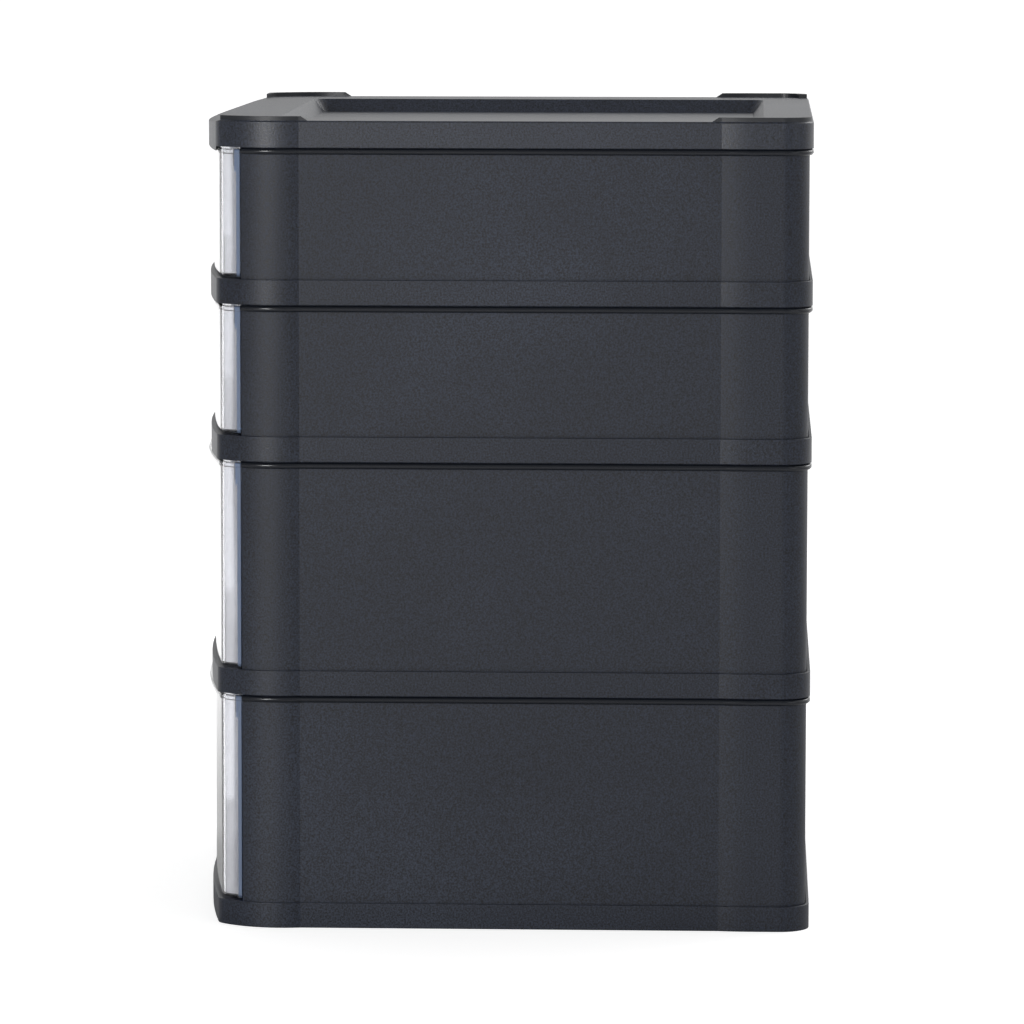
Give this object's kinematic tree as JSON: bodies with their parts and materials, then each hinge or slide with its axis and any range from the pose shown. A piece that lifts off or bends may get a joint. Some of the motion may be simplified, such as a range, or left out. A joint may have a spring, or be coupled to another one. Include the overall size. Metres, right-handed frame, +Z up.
{
  "type": "drawer stack",
  "caption": "Stackable desk drawer unit for letter and A4 paper: black shelves and wall shells, clear bowed-front sliding drawers, recessed top cover.",
  "frame": {"origin": "centre of the footprint on the floor", "axes": "+X across the width, +Y to the flat back, -Y the bowed front that the drawers open to, +Z up"},
  "size_m": [0.39, 0.3655, 0.4764],
  "materials": {
    "black_plastic": "fine matte moulded grain",
    "clear_plastic": "clear polished moulded plastic"
  },
  "bodies": {
    "cabinet": {"base_shelf": "black_plastic", "wall_shell_4": "black_plastic", "shelf_3": "black_plastic", "wall_shell_3": "black_plastic", "shelf_2": "black_plastic", "wall_shell_2": "black_plastic", "shelf_1": "black_plastic", "wall_shell_1": "black_plastic", "top_cover": "black_plastic"},
    "drawer_body_1": {"drawer_1": "clear_plastic"},
    "drawer_body_2": {"drawer_2": "clear_plastic"},
    "drawer_body_3": {"drawer_3": "clear_plastic"},
    "drawer_body_4": {"drawer_4": "clear_plastic"}
  },
  "joints": [
    {"name": "drawer_slide_1", "type": "slide", "parent": "cabinet", "child": "drawer_body_1", "axis": [0, -1, 0], "range_m": [0, 0.255]},
    {"name": "drawer_slide_2", "type": "slide", "parent": "cabinet", "child": "drawer_body_2", "axis": [0, -1, 0], "range_m": [0, 0.255]},
    {"name": "drawer_slide_3", "type": "slide", "parent": "cabinet", "child": "drawer_body_3", "axis": [0, -1, 0], "range_m": [0, 0.255]},
    {"name": "drawer_slide_4", "type": "slide", "parent": "cabinet", "child": "drawer_body_4", "axis": [0, -1, 0], "range_m": [0, 0.255]}
  ]
}
